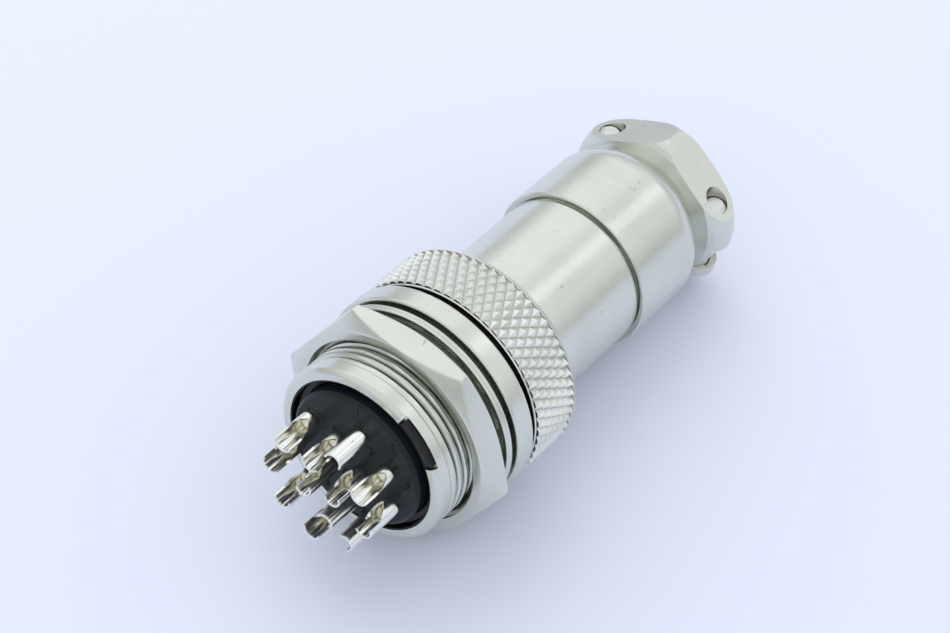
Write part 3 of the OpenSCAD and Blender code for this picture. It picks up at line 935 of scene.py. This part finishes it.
@dataclass
class Receptacle:
    """Panel half: shell, locating ring, washer, nut, contacts and their numbers."""

    coats: dict
    outer_r: float = 5.9
    outer_step: float = 42.0
    inner_reach: tuple = (3.65, 1.85)
    turn: float = 70.0
    openings: tuple = (285, 115, 60, 325, 95, 85, 120, 105, 115, 65, 295, 55)
    numbered: tuple = (0, 1, 2, 3, 4, 5, 6, 7, 8, 11, 10, 9)
    number_back: tuple = (17.0,) * 8 + (33.0, 43.0) * 2
    number_r: tuple = (6.55,) * 8 + (3.65, 2.95) * 2

    def places(self) -> list:
        """Contact places: eight on a circle with one wide gap, and four inside it.

        Returns:
            Places (y, z).
        """
        angles = np.radians((np.arange(8) - 3.5) * self.outer_step + 180)
        outer = self.outer_r * np.stack([np.cos(angles), np.sin(angles)], -1)
        far, near = self.inner_reach
        inner = np.array([(far, 0), (0, near), (-far, 0), (0, -near)])
        c, s = math.cos(math.radians(self.turn)), math.sin(math.radians(self.turn))
        return (np.concatenate([outer, inner]) @ np.array([[c, s], [-s, c]])).tolist()

    def number_places(self) -> list:
        """Places of the numbers: each a little way round from its contact.

        Returns:
            Places (y, z) in the numbers' order.
        """
        spots = np.array(self.places())[list(self.numbered)]
        angles = np.arctan2(spots[:, 1], spots[:, 0]) - np.radians(self.number_back)
        reach = np.array(self.number_r)
        return np.stack([reach * np.cos(angles), reach * np.sin(angles)], -1).tolist()

    def build(self) -> None:
        """Builds and places every piece of the panel half."""
        nickel, black, silver = (self.coats[s] for s in (Slot.NICKEL, Slot.BLACK, Slot.SILVER))
        place(ReceptacleShell().surface().build("receptacle_body"), "receptacle", Slot.NICKEL, nickel,
              "receptacle_shell")
        place(LocatingRing().surface().build("locating_ring"), "receptacle", Slot.BLACK, black,
              "retaining_ring")
        place(Washer().surface().build("washer_ring"), "washer", Slot.NICKEL, nickel, "panel_washer")
        place(HexNut().surface().build("hexagon_nut", 20), "hex_nut", Slot.NICKEL, nickel, "panel_nut")
        for i, (spot, opening) in enumerate(zip(self.places(), self.openings), 1):
            contact = SolderContact(tuple(spot), opening)
            place(contact.surface().build(f"solder_contact_{i:02d}", 40), "receptacle", Slot.SILVER,
                  silver, f"pin_contact_{i:02d}")
        place(Numbers(self.number_places()).build(), "receptacle", Slot.BLACK, black)


# ---------------------------------------------------------------- plug


@dataclass
class CouplingNut:
    """Knurled ring: pointed diamonds on a grid of half pitches, between two eased bands."""

    start: float = 13.45
    knurl: tuple = (13.6, 19.4)
    rows: int = 6
    around: int = 120
    fine: int = 6
    crest_r: float = 11.95
    depth: float = 0.42
    flat_tip: float = 0.07
    flank: float = 0.89
    front_lead: float = 0.16
    front_lead_rows: float = 0.3
    rear_lead: float = 0.05
    rear_lead_rows: float = 0.25
    band_r: float = 11.92
    band_root: float = 11.50
    end: float = 20.55
    slope_x: float = 20.43
    slope_r: float = 11.07
    neck_r: float = 8.85
    neck_x: float = 19.2
    bore_r: float = 10.06
    mouth_x: float = 13.85
    # Strength of the painted shade in the knurl's valleys, and the sink where it starts.
    knurl_grime: float = 0.30
    grime_from: float = 0.72

    def outline(self) -> tuple:
        """Plain outline before and behind the knurl.

        Returns:
            Front rows and rear rows, each an array (n, 2) of (x, r).
        """
        start, root, band_x = self.start, self.band_root, self.knurl[1] + 0.06
        front = np.array([(start, 10.46), (start, root - 0.14), (start + 0.03, root - 0.06),
                          (start + 0.15, root)])
        rear = rounded([
            (band_x, root, 0.02), (band_x, self.band_r, 0.12), (self.slope_x, self.slope_r, 0.3),
            (self.end, self.slope_r - 0.17, 0.15), (self.end, self.neck_r, 0.1),
            (self.neck_x, self.neck_r, 0.05), (self.neck_x, self.bore_r, 0.05),
            (self.mouth_x, self.bore_r, 0.05), (start + 0.02, 10.42, 0.02),
        ], 0.1)
        return front, rear

    def surface(self) -> Surface:
        """Grid round X whose knurl rows sink with the larger diagonal distance to the nearest point.

        Returns:
            The ring, with painted shade in the knurl's valleys and beside both bands.
        """
        cols = self.around * self.fine
        angles = np.arange(cols) * 2 * np.pi / cols
        steps = self.rows * self.fine
        s = angles[None, :] * self.around / (2 * np.pi)
        t = np.linspace(0, self.rows, steps + 1)[:, None]
        dp, dq = (np.abs(d - 2 * np.round(d / 2)) for d in (s + t, s - t))
        sink = np.clip((np.maximum(dp, dq) - self.flat_tip) / self.flank, 0, 1)
        lead = self.front_lead * (1 - smooth(0, self.front_lead_rows, t))
        lead = lead + self.rear_lead * smooth(self.rows - self.rear_lead_rows, self.rows, t)
        knurl_r = self.crest_r - np.maximum(self.depth * sink, lead)
        knurl_x = self.knurl[0] + (self.knurl[1] - self.knurl[0]) * t / self.rows + 0 * s
        front, rear = self.outline()
        flat = np.ones((1, cols))
        x = np.concatenate([front[:, :1] * flat, knurl_x, rear[:, :1] * flat])
        r = np.concatenate([front[:, 1:] * flat, knurl_r, rear[:, 1:] * flat])
        quads = grid_faces(len(x), cols)
        row, col = quads[:, 0] // cols, quads[:, 0] % cols
        cell = (row - len(front)) // self.fine + col // self.fine
        inside = (row >= len(front)) & (row < len(front) + steps)
        even, odd = quads[inside & (cell % 2 == 0)], quads[inside & (cell % 2 == 1)]
        slopes = np.concatenate([even[:, [0, 1, 3]], even[:, [1, 2, 3]],
                                 odd[:, [0, 1, 2]], odd[:, [0, 2, 3]]])
        # Painted shade: the knurl's deepest valleys darken, and the front face and the bore's front
        # mouth take full shade.
        grime = smooth(self.grime_from, 1.0, sink) * self.knurl_grime
        root = np.zeros(x.shape)
        root[: len(front) - 2] = root[-4:] = 1.0
        root[len(front): len(front) + steps + 1] = grime
        return Surface(swept(x, r, angles[None, :]), [quads[~inside], slopes], {"root": root})


@dataclass
class PlugShell:
    """Front sleeve, shoulder, smooth barrel and threaded rear spigot."""

    front_x: float = 11.2
    lip_r: float = 7.1
    lip_x: float = 12.0
    sleeve_r: float = 8.4
    shoulder_x: tuple = (17.78, 19.08)
    shoulder_r: float = 9.55
    barrel_r: float = 8.75
    barrel_end: float = 34.83
    spigot_r: float = 8.45
    end_x: float = 39.98
    bore_r: float = 7.6
    thread_depth: float = 0.3
    thread_pitch: float = 0.5
    slot_half: float = 7.85
    slot_end: float = 17.6

    def surface(self) -> Surface:
        """Outline turned round X, the spigot with a fine thread, the sleeve with a slot for the rib.

        Returns:
            The shell, with painted shade in its thread's roots.
        """
        near, far = self.shoulder_x
        outline = rounded([
            (self.front_x, self.lip_r, 0.05), (self.front_x, self.sleeve_r, 0.2),
            (near, self.sleeve_r, 0.02), (near, self.shoulder_r, 0.1), (far, self.shoulder_r, 0.1),
            (far, self.barrel_r, 0.02), (self.barrel_end, self.barrel_r, 0.16),
            (self.barrel_end, self.spigot_r, 0.02), (self.end_x, self.spigot_r, 0.3),
            (self.end_x, self.bore_r, 0.1), (self.lip_x, self.bore_r, 0.02),
            (self.lip_x, self.lip_r, 0.02),
        ], 0.1)
        outline = densified(outline, 0.1, self.spigot_r - 0.01)

        def shift(x: np.ndarray, r: np.ndarray, a: np.ndarray) -> tuple:
            """Cuts the spigot's thread and the slot in the sleeve.

            Args:
                x: the points' places along the axis.
                r: their radii.
                a: their angles in radians.

            Returns:
                The changed x and r.
            """
            on_spigot = (np.abs(r - self.spigot_r) < 0.01) * smooth(
                self.barrel_end + 0.02, self.barrel_end + 0.07, x)
            r = r - self.thread_depth * on_spigot * thread_groove(x, a, self.thread_pitch)
            in_slot = (off_key(a) < self.slot_half) & (x < self.slot_end) & (r < self.sleeve_r + 0.02)
            return np.where(in_slot, self.slot_end + 0.01 * (r - 7.0), x), r

        sides = (KEY_WAY - self.slot_half, KEY_WAY + self.slot_half)
        return turned(outline, round_angles(TURNS, sides), shift)


@dataclass
class Plug:
    """Cable half's front: barrel and coupling nut."""

    nickel: bpy.types.Material
    knurled: bpy.types.Material

    def build(self) -> None:
        """Builds and places the plug's outer pieces."""
        place(PlugShell().surface().build("plug_barrel"), "plug", Slot.NICKEL,
              self.nickel, "plug_shell")
        place(CouplingNut().surface().build("knurled_ring", 16), "knurled_nut", Slot.NICKEL,
              self.knurled, "coupling_nut")


@dataclass
class Carried:
    """CAD nodes whose own meshes are shown, dressed with the procedural finishes."""

    nodes: dict
    coats: dict
    slots: dict

    def dress(self) -> None:
        """Gives every shown CAD node its slot's finish."""
        for name, node in self.nodes.items():
            if node.hide_render:
                continue
            slot = Slot(self.slots[name])
            for holder in node.material_slots:
                holder.material = self.coats[slot]
            log.info("%s: carried over with %s", name, slot.value)


# ---------------------------------------------------------------- studio


@dataclass(frozen=True)
class Lamp:
    """Soft rectangular lamp that faces the connector."""

    name: str
    direction: tuple
    size: tuple
    power: float
    mirrored: bool = True
    far: float = 0.45
    target: tuple = (0.024, 0.0, 0.0)

    def build(self) -> None:
        """Hangs the lamp at its distance from the target, with its face towards it."""
        light = bpy.data.lights.new(self.name, "AREA")
        light.shape, light.size, light.size_y = "RECTANGLE", *self.size
        light.energy = self.power
        aim = np.array(self.direction) / np.linalg.norm(self.direction)
        side = np.cross((1.0, 0.0, 0.0), aim)
        side /= np.linalg.norm(side)
        obj = linked(self.name, light)
        obj.visible_glossy = self.mirrored
        obj.matrix_world = turned_to(side, np.cross(aim, side), aim, aim * self.far + self.target)


def turned_to(right: tuple, up: tuple, back: tuple, spot: tuple) -> Matrix:
    """Placement of a lamp or camera by its three directions and its place.

    Args:
        right: direction of its own X.
        up: direction of its own Y.
        back: direction of its own Z, away from what it faces.
        spot: its place in metres.

    Returns:
        The matrix.
    """
    turn = np.eye(4)
    turn[:3, 0], turn[:3, 1], turn[:3, 2], turn[:3, 3] = right, up, back, spot
    return Matrix(turn.tolist())


@dataclass
class Studio:
    """Pale table, soft lamps, even surroundings and the camera, in metres."""

    floor_colour: tuple = (0.785, 0.82, 0.95)
    low_colour: tuple = (0.58, 0.595, 0.61)
    high_colour: tuple = (0.93, 0.96, 1.0)
    eye: tuple = (-0.1599, -0.1056, 0.2231)
    right: tuple = (0.6079, -0.7858, 0.1146)
    down: tuple = (-0.5283, -0.5080, -0.6804)
    forward: tuple = (0.5928, 0.3531, -0.7239)
    lens: float = 113.7
    table_half: float = 0.8
    table_x: float = 0.0194
    table_z: float = -0.01195
    table_rise: float = 0.0987
    table_gap: float = 0.00002
    table_cloud: float = 0.985
    horizon_rise: float = 0.5
    lamps: tuple = (
        Lamp("key_lamp", (0.15, 0.62, 0.78), (0.50, 0.50), 0.36, mirrored=False),
        Lamp("sheen_lamp", (0.35, 0.50, 0.78), (0.40, 0.40), 0.09),
        Lamp("strip_lamp", (0.62, -0.30, 0.75), (0.10, 0.4), 0.04),
    )

    def floor(self) -> None:
        """Flat table that touches the coupling nut and the clamp, a little higher towards the cable."""
        s = self.table_half
        corners = [(x, y, self.table_z + self.table_rise * (x - self.table_x) - self.table_gap)
                   for x, y in ((-s, -s), (s, -s), (s, s), (-s, s))]
        mesh = bpy.data.meshes.new("table")
        mesh.from_pydata(corners, [], [(0, 1, 2, 3)])
        mesh.update()
        paint = Paint("table_top")
        low = tuple(c * self.table_cloud for c in self.floor_colour)
        soft = paint.noise((12, 12, 12), 2.0)
        paint.set(Base_Color=paint.blend(soft, low, self.floor_colour), Roughness=0.6)
        mesh.materials.append(paint.material)
        linked("table", mesh)

    def world(self) -> None:
        """Even pale surroundings, a little darker below the horizon."""
        world = bpy.data.worlds.new("surroundings")
        world.use_nodes = True
        tree = Tree(world.node_tree)
        sky = tree.node("ShaderNodeTexCoord").outputs["Generated"]
        height = tree.node("ShaderNodeSeparateXYZ", None, sky).outputs["Z"]
        rise = tree.node("ShaderNodeMapRange", {"interpolation_type": "SMOOTHSTEP"},
                         Value=height, From_Min=0.0, From_Max=self.horizon_rise)
        colour = tree.blend(rise.outputs[0], self.low_colour, self.high_colour)
        back = world.node_tree.nodes["Background"]
        tree.give(back.inputs["Color"], colour)
        tree.give(back.inputs["Strength"], 1.0)
        bpy.context.scene.world = world

    def camera(self) -> None:
        """Camera at the set place, turned by its three directions."""
        data = bpy.data.cameras.new("camera")
        data.lens, data.sensor_width = self.lens, 36.0
        data.clip_start, data.clip_end = 0.01, 5.0
        obj = linked("camera", data)
        up, back = -np.array(self.down), -np.array(self.forward)
        obj.matrix_world = turned_to(self.right, up, back, self.eye)
        bpy.context.scene.camera = obj

    def build(self) -> None:
        """Sets the whole studio."""
        bpy.context.scene.view_settings.view_transform = "Standard"
        self.world()
        self.floor()
        for lamp in self.lamps:
            lamp.build()
        self.camera()


def main() -> None:
    """Builds the connector and its studio on the loaded frame."""
    logging.basicConfig(level=logging.INFO)
    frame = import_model()
    finishes = Finishes()
    coats = finishes.coats()
    Receptacle(coats).build()
    Plug(coats[Slot.NICKEL], finishes.knurl.material()).build()
    slots = {part["node"]: part["material_slot"] for part in frame["record"]["subparts"]}
    Carried(frame["nodes"], coats, slots).dress()
    Studio().build()


if __name__ == "__main__":
    main()
